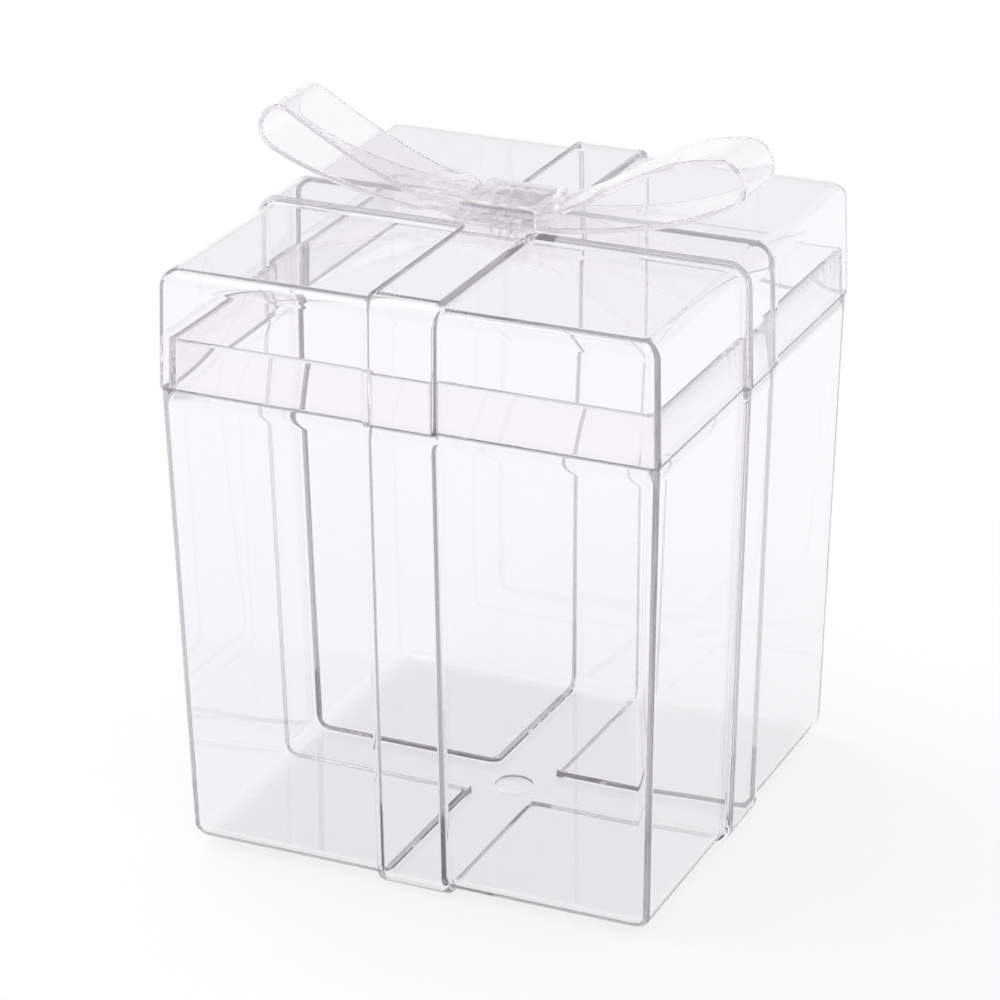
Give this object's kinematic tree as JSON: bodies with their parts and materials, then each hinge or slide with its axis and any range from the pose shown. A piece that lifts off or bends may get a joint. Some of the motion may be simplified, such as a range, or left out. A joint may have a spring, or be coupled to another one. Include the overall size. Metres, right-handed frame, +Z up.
{
  "type": "acrylic gift box",
  "caption": "Tall clear plastic gift box, square and slightly tapered, with raised ribbon bands, a lift-off lid and a folded clear ribbon bow clipped to the lid.",
  "frame": {"origin": "middle of the footprint, on the surface the box stands on", "axes": "+Z up; +X to the right along the front face and along the bow; +Y from the front face to the back"},
  "size_m": [0.082, 0.082, 0.1117],
  "materials": {
    "clear_box_plastic": "polished and water clear",
    "soft_bow_plastic": "glossy, soft and faintly milky",
    "knot_plastic": "glossy and nearly clear"
  },
  "bodies": {
    "box": {"box_body": "clear_box_plastic"},
    "lid_with_bow": {"lid": "clear_box_plastic", "bow_ribbon": "soft_bow_plastic", "knot_clip": "knot_plastic"}
  },
  "joints": [
    {"name": "lid_lift", "type": "slide", "parent": "box", "child": "lid_with_bow", "axis": [0, 0, 1], "range_m": [0, 0.06]}
  ]
}
